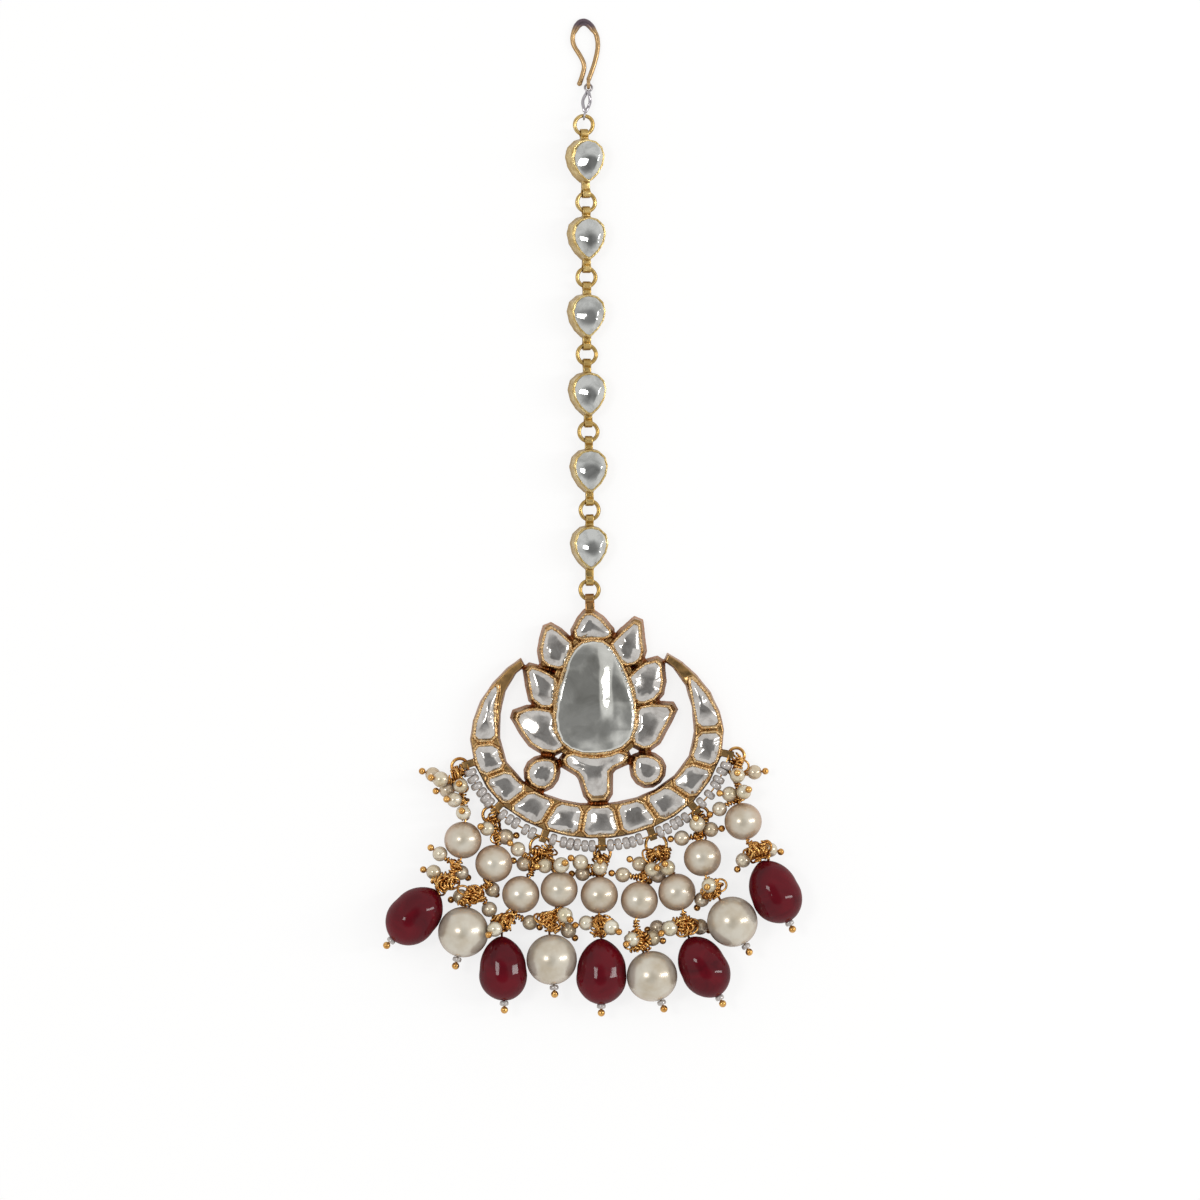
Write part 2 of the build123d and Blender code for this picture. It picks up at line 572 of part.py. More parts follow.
def egg(half_width, half_length):
    """A tumbled bead about the Z axis, with its narrow end at the bottom."""
    shoulder = (half_width * 0.985, half_length * 0.02)
    narrow = ThreePointArc((0, -half_length), (half_width * 0.72, -half_length * 0.62), shoulder)
    wide = ThreePointArc(shoulder, (half_width * 0.80, half_length * 0.68), (0, half_length))
    half = make_face([narrow, wide, Line((0, half_length), (0, -half_length))])
    return revolve(Rot(90, 0, 0) * half, Axis.Z)


def drop(number):
    """A ruby bead or a large pearl, drilled for its pin."""
    route = dangle_route(number)
    half_width, half_length = DROP_SIZES[route["kind"]]
    body = egg(half_width, half_length) if route["kind"] == "ruby" else Sphere(half_length)
    return bead(body, route["drop"], route["down"], EYE_WIRE)


def dangle_pearls(number):
    """The row pearl, the small pearls of its bunches and the seed under its drop."""
    route = dangle_route(number)
    pearls = [bead(Sphere(ROW_PEARL), route["pearl"], route["bore"], EYE_WIRE)]
    for foot, middle, end in bunches(number):
        pearls.append(bead(Sphere(BUNCH_PEARL), middle, end - foot, PIN_WIRE))
    pearls.append(bead(Cylinder(*DROP_SEED), route["seed"], route["down"], EYE_WIRE))
    return pearls


def tab_rings():
    made = {}
    for tab_number, radius, *_ in DANGLES:
        if tab_number not in made:
            made[tab_number] = ring(radius, RING_WIRE, ring_centre(tab_number, radius))
    return list(made.values())


def seed_strand():
    """The strand of seed beads: a plain rod along the crescent's edge between each two tabs."""
    rods = []
    for first, second in zip(TAB_ANGLES, TAB_ANGLES[1:]):
        near, far = first + SEED_MARGIN, second - SEED_MARGIN
        points = []
        for k in range(4):
            (x, y), _ = tab_point(near + (far - near) * k / 3, SEED_ROD + 0.42)
            points.append((*lying((x, y)), SEED_HEIGHT))
        rods.append(bent_rod(points, SEED_ROD, [8, 8]))
    return rods


def fringe():
    pins = [pearl_pin(number) for number in range(1, 10)]
    write("pearl_pins_left", *pins[:3])
    write("pearl_pins_centre", *pins[3:6])
    write("pearl_pins_right", *pins[6:])
    write("drop_pins", *[drop_pin(number) for number in range(1, 10)])
    write("tab_rings", *tab_rings())
    write("seed_strand", *seed_strand())
    counts = {"ruby": 0, "pearl": 0}
    for number in range(1, 10):
        kind = DANGLES[number - 1][3]
        counts[kind] += 1
        write(f"{kind}_drop_{counts[kind]}", drop(number))
        write(f"dangle_pearls_{number}", *dangle_pearls(number))


chain()
write("hair_hook", hook())
write("twisted_loop", twisted_loop())
pendant()
fringe()
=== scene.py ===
import bpy
import bmesh
import math
import random
from mathutils import Matrix, Vector, kdtree, noise


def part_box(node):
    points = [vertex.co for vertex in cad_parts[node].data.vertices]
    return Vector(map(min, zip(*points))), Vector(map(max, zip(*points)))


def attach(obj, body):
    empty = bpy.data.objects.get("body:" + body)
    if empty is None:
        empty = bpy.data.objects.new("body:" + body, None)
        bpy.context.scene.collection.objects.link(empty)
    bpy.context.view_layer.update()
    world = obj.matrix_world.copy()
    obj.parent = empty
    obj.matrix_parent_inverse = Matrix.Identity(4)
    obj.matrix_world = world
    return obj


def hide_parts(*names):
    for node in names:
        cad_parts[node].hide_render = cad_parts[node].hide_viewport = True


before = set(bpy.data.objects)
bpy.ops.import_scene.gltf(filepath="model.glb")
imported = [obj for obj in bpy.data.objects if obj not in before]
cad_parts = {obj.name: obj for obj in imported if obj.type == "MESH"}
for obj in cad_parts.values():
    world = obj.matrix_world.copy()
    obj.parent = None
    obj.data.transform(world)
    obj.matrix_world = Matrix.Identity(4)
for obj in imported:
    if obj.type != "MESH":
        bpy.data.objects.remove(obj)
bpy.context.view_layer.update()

# ---- the table and the studio round it ----
# A white table under a hazy light tent: a squarish softbox left of the zenith, a tall narrow one low at
# the right, and a dim zenith that the flat stones mirror as their grey middles.
MM = 0.001
dice = random.Random(11)


def linear(code):
    """An sRGB hex colour as a linear one."""
    parts = [int(code[i:i + 2], 16) / 255 for i in (0, 2, 4)]
    return [c / 12.92 if c <= 0.04045 else ((c + 0.055) / 1.055) ** 2.4 for c in parts] + [1.0]


def add(tree, kind, settings=None, links=None):
    """One node with its settings and the sockets that feed it, keyed by name or by place.

    By place, a map range reads from 1 to 2 and gives 3 to 4; a colour mix has its share at 0 and its
    colours at 6 and 7.
    """
    node = tree.nodes.new(kind)
    for key, value in (settings or {}).items():
        if isinstance(key, str) and hasattr(node, key):
            setattr(node, key, value)
        else:
            node.inputs[key].default_value = value
    for key, source in (links or {}).items():
        tree.links.new(source, node.inputs[key])
    return node


def coat_of(name, **sockets):
    """A new material with its main shader's sockets set."""
    material = bpy.data.materials.new(name)
    material.use_nodes = True
    shader = material.node_tree.nodes["Principled BSDF"]
    for key, value in sockets.items():
        shader.inputs[key.replace("_", " ")].default_value = value
    return material, material.node_tree, shader


def place_object(name, mesh):
    shape = bpy.data.objects.new(name, mesh)
    bpy.context.scene.collection.objects.link(shape)
    return shape


table_build = bmesh.new()
bmesh.ops.create_grid(table_build, x_segments=1, y_segments=1, size=3)
table_mesh = bpy.data.meshes.new("table_top")
table_build.to_mesh(table_mesh)
table_build.free()
table = place_object("table_top", table_mesh)
table_paint, tree, shader = coat_of("white_table", Base_Color=linear("F2F1EF"), Roughness=0.9)
seen = add(tree, "ShaderNodeLightPath")
paleness = add(tree, "ShaderNodeMath", {"operation": "MAXIMUM"},
               {0: seen.outputs["Is Camera Ray"], 1: seen.outputs["Is Transmission Ray"]})
amount = add(tree, "ShaderNodeMath", {"operation": "MULTIPLY", 1: 0.8}, {0: paleness.outputs[0]})
glow = add(tree, "ShaderNodeEmission", {"Color": [1, 1, 1, 1], "Strength": 1.0})
blend = add(tree, "ShaderNodeMixShader", None,
            {0: amount.outputs[0], 1: shader.outputs[0], 2: glow.outputs[0]})
tree.links.new(blend.outputs[0], tree.nodes["Material Output"].inputs["Surface"])
table_mesh.materials.append(table_paint)

world = bpy.data.worlds.new("light_tent")
bpy.context.scene.world = world
world.use_nodes = True
tree = world.node_tree
sky = tree.nodes["Background"]
way = add(tree, "ShaderNodeTexCoord")
# the tent's dim opening lies a little left of straight up: it is dimmest within 13 degrees of its
# middle and gives way to the bright cloth by 34 degrees
opening = add(tree, "ShaderNodeVectorMath", {"operation": "DOT_PRODUCT", 1: (-0.10, -0.04, 0.994)},
              {0: way.outputs["Generated"]})
brightness = add(tree, "ShaderNodeMapRange",
                 {"interpolation_type": "SMOOTHSTEP", 1: 0.975, 2: 0.83, 3: 0.24, 4: 0.92},
                 {0: opening.outputs["Value"]})
tree.links.new(brightness.outputs[0], sky.inputs["Strength"])
sky.inputs["Color"].default_value = [1, 1, 1, 1]


def softbox(name, side, along, distance, size, power):
    """A rectangular lamp whose middle lies side degrees to the right of straight up."""
    lamp = bpy.data.lights.new(name, "AREA")
    lamp.shape = "RECTANGLE"
    lamp.size, lamp.size_y = size
    lamp.energy = power
    stand = bpy.data.objects.new(name, lamp)
    bpy.context.scene.collection.objects.link(stand)
    place = Vector((math.sin(math.radians(side)), along, math.cos(math.radians(side)))).normalized()
    stand.location = place * distance
    stand.rotation_euler = place.to_track_quat("Z", "Y").to_euler()


softbox("left_softbox", side=-25, along=0.10, distance=1.0, size=(0.2, 0.24), power=2.0)
softbox("right_softbox", side=56, along=0.10, distance=1.0, size=(0.11, 0.6), power=3.2)

CAMERA_HEIGHT = 1.2         # metres
VIEW_WIDTH = 0.21           # metres of the table that the picture takes in
lens = bpy.data.cameras.new("camera")
lens.sensor_width = 36
lens.lens = 36 * CAMERA_HEIGHT / VIEW_WIDTH
lens.clip_start = 0.05
lens.clip_end = 10
camera = bpy.data.objects.new("camera", lens)
bpy.context.scene.collection.objects.link(camera)
camera.location = (0.525 * MM, 23.6 * MM, CAMERA_HEIGHT)
bpy.context.scene.camera = camera
bpy.context.scene.view_settings.view_transform = "Standard"


# ---- pendant frame ----
# Cells of sheet metal soldered to one back plate, gold-plated and burnished by hand. A thin foil
# collar is pressed down round each stone. The rims keep the pale gold; the sunk bars and the walls
# below are painted darker and browner by height, as painted shade with a warm painted reflection.
def gold(name, pale, deep, roughness, hammered, painted_wall_shade=()):
    """Mottled gold plate with painted shade on its walls: steps of (start, end, colour), heights in mm, each
    darkening it toward colour from start down to end.
    """
    material, tree, shader = coat_of(name, Metallic=1.0, Roughness=roughness)
    spot = add(tree, "ShaderNodeTexCoord")
    # plating clouds about 1.2 mm across
    cloud = add(tree, "ShaderNodeTexNoise", {"Scale": 850.0, "Detail": 3.0, "Roughness": 0.6},
                {"Vector": spot.outputs["Object"]})
    # tool marks about 0.25 mm apart
    marks = add(tree, "ShaderNodeTexNoise", {"Scale": 3800.0, "Detail": 2.0, "Roughness": 0.55},
                {"Vector": spot.outputs["Object"]})
    tone = add(tree, "ShaderNodeMapRange", {1: 0.35, 2: 0.68, 3: 0.0, 4: 1.0}, {0: cloud.outputs[0]})
    top = add(tree, "ShaderNodeMix", {"data_type": "RGBA", 6: linear(pale), 7: linear(deep)},
              {0: tone.outputs[0]})
    level = add(tree, "ShaderNodeSeparateXYZ", None, {0: spot.outputs["Object"]})
    skin = top
    # painted shade: each step darkens the gold toward its colour from the start height down to the end height
    for start, end, colour in painted_wall_shade:
        wall_shade_mask = add(tree, "ShaderNodeMapRange",
                   {"interpolation_type": "SMOOTHSTEP", 1: start * MM, 2: end * MM, 3: 0.0, 4: 0.92},
                   {0: level.outputs["Z"]})
        skin = add(tree, "ShaderNodeMix", {"data_type": "RGBA", 7: linear(colour)},
                   {0: wall_shade_mask.outputs[0], 6: skin.outputs[2]})
    tree.links.new(skin.outputs[2], shader.inputs["Base Color"])
    dull = add(tree, "ShaderNodeMapRange", {1: 0.3, 2: 0.7, 3: roughness - 0.08, 4: roughness + 0.14},
               {0: cloud.outputs[0]})
    tree.links.new(dull.outputs[0], shader.inputs["Roughness"])
    relief = add(tree, "ShaderNodeBump", {"Strength": hammered, "Distance": 0.04 * MM},
                 {"Height": marks.outputs[0]})
    tree.links.new(relief.outputs[0], shader.inputs["Normal"])
    return material


# painted shade: olive-brown on the bars sunk between the collars, browner again down the lower walls
frame_gold = gold("burnished_gold_plate", "DCBE8E", "B78C59", 0.27, 0.15,
                  [(3.22, 2.95, "98774B"), (2.6, 0.8, "AF7440")])


def merged(node):
    """The CAD node's shape as one closed bmesh."""
    build = bmesh.new()
    build.from_mesh(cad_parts[node].data)
    bmesh.ops.remove_doubles(build, verts=build.verts, dist=1e-6)
    return build


def as_mesh(build, name):
    mesh = bpy.data.meshes.new(name)
    build.to_mesh(mesh)
    build.free()
    return mesh


def worn(mesh, voxel, rounds, share=1.0):
    """The mesh rebuilt on a grid of voxel mm, with its edges rounded in rounds of smoothing.

    Share is the part of its faces that is kept.
    """
    blank = place_object("blank", mesh)
    grain = blank.modifiers.new("grain", "REMESH")
    grain.mode = "VOXEL"
    grain.voxel_size = voxel * MM
    wear = blank.modifiers.new("wear", "SMOOTH")
    wear.factor = 0.5
    wear.iterations = rounds
    if share < 1:
        thin = blank.modifiers.new("thin", "DECIMATE")
        thin.ratio = share
    graph = bpy.context.evaluated_depsgraph_get()
    result = bpy.data.meshes.new_from_object(blank.evaluated_get(graph), depsgraph=graph)
    bpy.data.objects.remove(blank)
    bpy.data.meshes.remove(mesh)
    return result


def finished(name, mesh, material, slot, *nodes):
    """The piece in its place on the table, with its finish, standing for its CAD nodes."""
    for vertex in mesh.vertices:
        vertex.co.z = max(0.0, vertex.co.z)
    mesh.materials.clear()
    mesh.materials.append(material)
    mesh.shade_smooth()
    shape = place_object(name, mesh)
    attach(shape, "root")
    if nodes:
        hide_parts(*nodes)
    return shape


def islands(build):
    """The loose solids of a bmesh, each as a list of its vertices."""
    left, found = set(build.verts), []
    for start in build.verts:
        if start not in left:
            continue
        left.discard(start)
        group, edge_of = [start], [start]
        while edge_of:
            vertex = edge_of.pop()
            for edge in vertex.link_edges:
                other = edge.other_vert(vertex)
                if other in left:
                    left.discard(other)
                    group.append(other)
                    edge_of.append(other)
        found.append(group)
    return found


def tube(build, points, radius, sides=8, closed=False, jitter=0.0):
    """A round wire through the points, added to the bmesh."""
    count = len(points)
    rings = []
    side = None
    for i, point in enumerate(points):
        before = points[i - 1] if closed or i else point
        after = points[(i + 1) % count] if closed or i < count - 1 else point
        way = (after - before).normalized()
        if side is None:
            side = way.orthogonal().normalized()
        side = (side - way * side.dot(way)).normalized()
        thick = radius * (1 + dice.uniform(-jitter, jitter))
        turn = Matrix((side, way.cross(side), way)).transposed().to_4x4()
        turn.translation = point
        ring = bmesh.ops.create_circle(build, segments=sides, radius=thick, matrix=turn)["verts"]
        rings.append(list({e for v in ring for e in v.link_edges}))
    for first, second in zip(rings, rings[1:] + (rings[:1] if closed else [])):
        bmesh.ops.bridge_loops(build, edges=first + second)
    if not closed:
        for ring in (rings[0], rings[-1]):
            bmesh.ops.contextual_create(build, geom=ring)


def foot_outline(build, group):
    """The flat back of a stone, as points in order round its edge."""
    low = min(v.co.z for v in group)
    back = [v for v in group if v.co.z < low + 0.2 * MM]
    rim = {e for v in back for e in v.link_edges
           if e.other_vert(v) in back and any(abs(f.normal.z) < 0.5 for f in e.link_faces)}
    links = {}
    for edge in rim:
        a, b = edge.verts
        links.setdefault(a, []).append(b)
        links.setdefault(b, []).append(a)
    start = next(iter(links))
    order, previous = [start], None
    while True:
        ahead = [v for v in links[order[-1]] if v is not previous and v is not start]
        if not ahead or len(order) > len(links):
            return [v.co.copy() for v in order]
        previous = order[-1]
        order.append(ahead[0])


def widened(points, amount, height):
    """The outline moved outward by amount and raised to height, both in mm."""
    middle = sum(points, Vector()) / len(points)
    area = sum(p.x * q.y - q.x * p.y for p, q in zip(points, points[1:] + points[:1]))
    if area < 0:
        points = points[::-1]
    moved = []
    for i, point in enumerate(points):
        into = (point - points[i - 1]).to_2d().normalized()
        out = (points[(i + 1) % len(points)] - point).to_2d().normalized()
        normals = Vector((into.y + out.y, -into.x - out.x))
        reach = amount * MM / (1 + into.dot(out))
        moved.append(Vector((point.x + normals.x * reach, point.y + normals.y * reach, height * MM)))
    return moved


def finely(points, step):
    """The closed outline with a point about every step mm."""
    result = []
    for point, after in zip(points, points[1:] + points[:1]):
        parts = max(1, round((after - point).length / (step * MM)))
        result += [point.lerp(after, k / parts) for k in range(parts)]
    return result


SMALL_STONES = ["petal_stone_top", "petal_stone_upper_left", "petal_stone_upper_right",
                "petal_stone_mid_left", "petal_stone_mid_right", "petal_stone_lower_left",
                "petal_stone_lower_right", "leaf_stone_left", "leaf_stone_right", "stem_stone"]
# the foil collars, in mm: outward from the stone's foot, heights, radius, spacing of the points
COLLAR_REACH = 0.36
COLLAR_TOP = 3.32
CENTRE_COLLAR_TOP = 3.72
COLLAR_WIRE = 0.18
COLLAR_STEP = 0.6
# the gold between two collars is pressed down by BAR_SINK, from BAR_START mm off a collar's middle line
# and fully from BAR_FADE mm farther
BAR_SINK = 0.42
BAR_START = 0.24
BAR_FADE = 0.16
body = merged("pendant_frame")
collars = []
for node in SMALL_STONES + ["crescent_stones", "centre_stone"]:
    stones = merged(node)
    for group in islands(stones):
        outline = foot_outline(stones, group)
        top = CENTRE_COLLAR_TOP if node == "centre_stone" else COLLAR_TOP
        path = finely(widened(outline, COLLAR_REACH, top), COLLAR_STEP)
        path = [p + noise.noise_vector(p * 400) * 0.06 * MM for p in path]
        collars += path
        tube(body, path, COLLAR_WIRE * MM, closed=True, jitter=0.05)
    stones.free()
collar_tree = kdtree.KDTree(len(collars))
for index, point in enumerate(collars):
    collar_tree.insert(point, index)
collar_tree.balance()
pendant_mesh = worn(as_mesh(body, "pendant_frame_worn"), voxel=0.115, rounds=3, share=0.22)
for vertex in pendant_mesh.vertices:
    vertex.co.xy += noise.noise_vector(vertex.co * 420).xy * 0.08 * MM
    if vertex.co.z > 2.9 * MM:
        gap = collar_tree.find(vertex.co)[2] / MM
        vertex.co.z -= BAR_SINK * MM * min(1.0, max(0.0, (gap - BAR_START) / BAR_FADE))
finished("pendant_frame_worn", pendant_mesh, frame_gold, "gold", "pendant_frame")


# ---- foil stones ----
# Hand-cut glass over bright silver foil: soft crowned tops with worn facets, each lying a little
# differently, so that one mirrors the dim zenith and the next the lights.
def foil(name, pale, dim, roughness, cloud_scale, creased):
    """Mirror foil under glass, grey where the foil is creased or tarnished."""
    material, tree, shader = coat_of(name, Metallic=0.92, Roughness=roughness, Coat_Weight=1.0,
                                     Coat_Roughness=0.03)
    spot = add(tree, "ShaderNodeTexCoord")
    cloud = add(tree, "ShaderNodeTexNoise",
                {"Scale": cloud_scale, "Detail": 4.0, "Roughness": 0.62, "Distortion": 0.6},
                {"Vector": spot.outputs["Object"]})
    tone = add(tree, "ShaderNodeMapRange", {1: 0.42, 2: 0.72, 3: 0.0, 4: 0.75}, {0: cloud.outputs[0]})
    skin = add(tree, "ShaderNodeMix", {"data_type": "RGBA", 6: linear(pale), 7: linear(dim)},
               {0: tone.outputs[0]})
    tree.links.new(skin.outputs[2], shader.inputs["Base Color"])
    # creases in the foil about 1.5 mm apart
    crease = add(tree, "ShaderNodeTexNoise", {"Scale": 640.0, "Detail": 1.0, "Roughness": 0.5},
                 {"Vector": spot.outputs["Object"]})
    relief = add(tree, "ShaderNodeBump", {"Strength": creased, "Distance": 0.12 * MM},
                 {"Height": crease.outputs[0]})
    tree.links.new(relief.outputs[0], shader.inputs["Normal"])
    return material


small_foil = foil("creased_silver_foil_glass", "C9C5C0", "8E8780", 0.13, 520.0, 0.3)


def edge_gap(point, outline):
    """How far a point lies from the nearest edge of an outline, seen from above."""
    best = 1.0
    for start, end in zip(outline, outline[1:] + outline[:1]):
        run = (end - start).to_2d()
        back = (point - start).to_2d()
        share = min(1.0, max(0.0, back.dot(run) / run.length_squared))
        best = min(best, (back - run * share).length)
    return best


def soft_least(first, second, blend):
    """The lesser of two heights, rounded over where they are nearly equal."""
    share = max(0.0, blend - abs(first - second)) / blend
    return min(first, second) - share * share * blend / 4


SIDES = 7                   # sloping sides round each stone's table


def crowned_stones(node, voxel, crown, slope, roundness, tilt, drop, roll=0.0):
    """A node's stones, filling their cells, each cut to a low table with sloping sides; sizes in mm.

    Crown is the table's height over the girdle, roundness the radius of its dome. Drop is how far the
    girdle lies below the top of the CAD stone, roll how far the cell is turned, in degrees.
    """
    level = Matrix.Rotation(math.radians(roll), 4, "Y")
    source = merged(node)
    bmesh.ops.transform(source, matrix=level.inverted(), verts=source.verts)
    whole = bmesh.new()
    for group in islands(source):
        low = min(v.co.z for v in group)
        rim = max(v.co.z for v in group) / MM - drop
        outline = widened(foot_outline(source, group), 0.3, low / MM)
        slab = bmesh.new()
        face = slab.faces.new([slab.verts.new(p) for p in outline])
        raised = bmesh.ops.extrude_face_region(slab, geom=[face])["geom"]
        for vertex in [g for g in raised if isinstance(g, bmesh.types.BMVert)]:
            vertex.co.z = rim * MM
        bmesh.ops.recalc_face_normals(slab, faces=slab.faces)
        mesh = worn(as_mesh(slab, node), voxel, 1)
        middle = sum(outline, Vector()) / len(outline)
        # the table leans back against the roll of its cell, to a quarter past level
        level_again = 1.25 * math.tan(math.radians(roll))
        lean = (dice.uniform(-tilt, tilt) + level_again, dice.uniform(-tilt, tilt))
        steep = [slope * dice.uniform(0.7, 1.35) for _ in range(SIDES)]
        for vertex in mesh.vertices:
            share = vertex.co.z / MM - rim + 0.5
            if share <= 0:
                continue
            gap = edge_gap(vertex.co, outline) / MM
            away = (vertex.co - middle) / MM
            turn = (math.atan2(away.y, away.x) / math.tau + 0.5) * SIDES
            table = crown + lean[0] * away.x + lean[1] * away.y - away.xy.length_squared / (2 * roundness)
            table += noise.noise(vertex.co * 420) * 0.1
            rise = soft_least(steep[int(turn) % SIDES] * gap, table, 0.16)
            vertex.co.z += rise * min(1.0, 2 * share) * MM
        whole.from_mesh(mesh)
        bpy.data.meshes.remove(mesh)
    source.free()
    bmesh.ops.transform(whole, matrix=level, verts=whole.verts)
    return as_mesh(whole, node + "_crowned")


for node in SMALL_STONES:
    stone = crowned_stones(node, voxel=0.15, crown=0.7, slope=0.7, roundness=13, tilt=0.07, drop=1.2)
    finished(node + "_cut", stone, small_foil, "foil_stone", node)
stone = crowned_stones("crescent_stones", voxel=0.16, crown=0.7, slope=0.7, roundness=12, tilt=0.07, drop=1.2)
finished("crescent_stones_cut", stone, small_foil, "foil_stone", "crescent_stones")

# the centre stone is broad and nearly flat, with one sloping face down the right of its upper half: in
# mm, where the face starts and how far it takes to reach its depth, across and along the stone
FACE_LEFT, FACE_WIDTH = 0.3, 2.6
FACE_FOOT, FACE_RISE = 1.0, 5.0
FACE_DEPTH = 0.72
centre_foil = foil("polished_silver_foil_glass", "D6D6D0", "93928A", 0.09, 130.0, 0.25)
centre_mesh = crowned_stones("centre_stone", voxel=0.2, crown=1.5, slope=2.6, roundness=46, tilt=0.0, drop=2.4)
for vertex in centre_mesh.vertices:
    across = (vertex.co.x / MM - FACE_LEFT + 0.6 * noise.noise(vertex.co * 160)) / FACE_WIDTH
    along = min(1.0, max(0.0, (vertex.co.y / MM - FACE_FOOT) / FACE_RISE))
    across = min(1.0, max(0.0, across))
    if vertex.co.z > 4.0 * MM:
        vertex.co.z -= FACE_DEPTH * MM * along * across * across * (3 - 2 * across)
        vertex.co.z += 0.12 * MM * noise.noise(vertex.co * 190)
finished("centre_stone_cut", centre_mesh, centre_foil, "foil_stone", "centre_stone")


# ---- chain ----
# Six teardrop cups of gold-plated metal, a foil stone in each and a strip loop at both ends, joined by
# jump rings of round wire.
# painted shade: the cup walls darken toward a duller gold from 3.3 mm down to 1.6 mm over the table
chain_gold = gold("gold_plated_strip", "DCC58C", "AF9155", 0.28, 0.15, [(3.3, 1.6, "AD8E52")])
link_foil = foil("bluish_silver_foil_glass", "C3C4C1", "7F807C", 0.08, 420.0, 0.15)
LINK_ROLLS = (16, 13, 11, 10, 9, 8)      # degrees that each cup lies rolled to its side
for number in range(1, 7):
    node = f"link_setting_{number}"
    cup = worn(as_mesh(merged(node), node + "_worn"), voxel=0.12, rounds=3, share=0.3)
    for vertex in cup.vertices:
        vertex.co += noise.noise_vector(vertex.co * 380) * 0.08 * MM
    finished(node + "_worn", cup, chain_gold, "gold", node)
    node = f"link_stone_{number}"
    stone = crowned_stones(node, voxel=0.14, crown=1.0, slope=1.3, roundness=6.5, tilt=0.02, drop=1.3,
                           roll=LINK_ROLLS[number - 1])
    finished(node + "_cut", stone, link_foil, "foil_stone", node)
for number in range(1, 8):
    node = f"jump_ring_{number}"
    ring = worn(as_mesh(merged(node), node + "_worn"), voxel=0.1, rounds=1, share=0.5)
    for vertex in ring.vertices:
        dent = noise.noise_vector(vertex.co * 500 + Vector((number, 0, 0)))
        vertex.co += vertex.normal * 0.05 * MM + dent * 0.07 * MM
    finished(node + "_worn", ring, chain_gold, "gold", node)


# ---- hair hook ----
# One length of round brass wire bent to a shepherd's hook, dark over its top bend, with a small eye
# turned at its lower end.
def smooth_run(points, step):
    """Points every step mm along the smooth line through a few."""
    line = bpy.data.curves.new("route", "CURVE")
    line.dimensions = "3D"
    spline = line.splines.new("NURBS")
    spline.points.add(len(points) - 1)
    for target, point in zip(spline.points, points):
        target.co = (*(Vector(point) * MM), 1)
    spline.order_u = 3
    spline.use_endpoint_u = True
    spline.resolution_u = 12
    holder = bpy.data.objects.new("route", line)
    bpy.context.scene.collection.objects.link(holder)
    graph = bpy.context.evaluated_depsgraph_get()
    trace = bpy.data.meshes.new_from_object(holder.evaluated_get(graph), depsgraph=graph)
    run = [v.co.copy() for v in trace.vertices]
    bpy.data.objects.remove(holder)
    result, spare = [run[0]], 0.0
    for start, end in zip(run, run[1:]):
        gap = (end - start).length
        spare += gap
        if spare >= step * MM:
            result.append(end)
            spare = 0.0
    return result


HOOK_ROUTE = [(-1.5, 114.5, 1.02), (-0.75, 116.4, 0.9), (-0.12, 118.6, 0.7), (0.22, 120.6, 0.5),
              (-0.05, 122.5, 0.42), (-0.9, 124.0, 0.42), (-2.3, 124.75, 0.42), (-3.6, 124.05, 0.42),
              (-4.35, 122.3, 0.42), (-4.15, 120.6, 0.42), (-3.1, 119.1, 0.42), (-2.25, 117.5, 0.42),
              (-2.25, 116.1, 0.42), (-3.05, 113.95, 0.42)]
HOOK_WIRE = 0.42            # radius of the wire
HOOK_EYE = (0.68, 0.32)     # radius of the eye and of its wire
HOOK_TIP = 0.46             # radius of the rounded end
BEND_RADIUS = 2.75          # of the top bend round its middle
BEND_START, BEND_FADE = 122.6, 1.2       # y from which the wire is drawn toward that round, and over what
AROUND = [math.radians(15 * k) for k in range(24)]
wire = bmesh.new()
tube(wire, smooth_run(HOOK_ROUTE, 0.3), HOOK_WIRE * MM, sides=14, jitter=0.03)
hook_eye = Vector((-1.5, 113.85, 1.02)) * MM
tube(wire, [hook_eye + Vector((0, HOOK_EYE[0] * math.cos(a), HOOK_EYE[0] * math.sin(a))) * MM
            for a in AROUND], HOOK_EYE[1] * MM, sides=12, closed=True)
tip = Matrix.Translation(Vector(HOOK_ROUTE[-1]) * MM)
bmesh.ops.create_uvsphere(wire, u_segments=16, v_segments=10, radius=HOOK_TIP * MM, matrix=tip)
bmesh.ops.recalc_face_normals(wire, faces=wire.faces)
hook_mesh = as_mesh(wire, "hair_hook_bent")
bend_middle = Vector((-2.1, 121.6, 0.42)) * MM
for vertex in hook_mesh.vertices:
    near_top = max(0.0, min(1.0, (vertex.co.y / MM - BEND_START) / BEND_FADE))
    away = vertex.co - bend_middle
    away.z = 0
    vertex.co += away.normalized() * (away.length - BEND_RADIUS * MM) * 0.55 * near_top
hook_brass, tree, shader = coat_of("worn_brass_wire", Metallic=1.0, Roughness=0.33)
spot = add(tree, "ShaderNodeTexCoord")
level = add(tree, "ShaderNodeSeparateXYZ", None, {0: spot.outputs["Object"]})
rubbed = add(tree, "ShaderNodeTexNoise", {"Scale": 900.0, "Detail": 3.0}, {"Vector": spot.outputs["Object"]})
reach = add(tree, "ShaderNodeMath", {"operation": "MULTIPLY_ADD", 1: 1.0 * MM},
            {0: rubbed.outputs[0], 2: level.outputs["Y"]})
dark = add(tree, "ShaderNodeMapRange", {1: 123.6 * MM, 2: 124.7 * MM, 3: 0.0, 4: 0.9}, {0: reach.outputs[0]})
brass = add(tree, "ShaderNodeMix", {"data_type": "RGBA", 6: linear("C2A276"), 7: linear("9A7B54")},
            {0: rubbed.outputs[0]})
skin = add(tree, "ShaderNodeMix", {"data_type": "RGBA", 7: linear("5B5160")},
           {0: dark.outputs[0], 6: brass.outputs[2]})
tree.links.new(skin.outputs[2], shader.inputs["Base Color"])
finished("hair_hook_bent", hook_mesh, hook_brass, "hook_wire", "hair_hook")


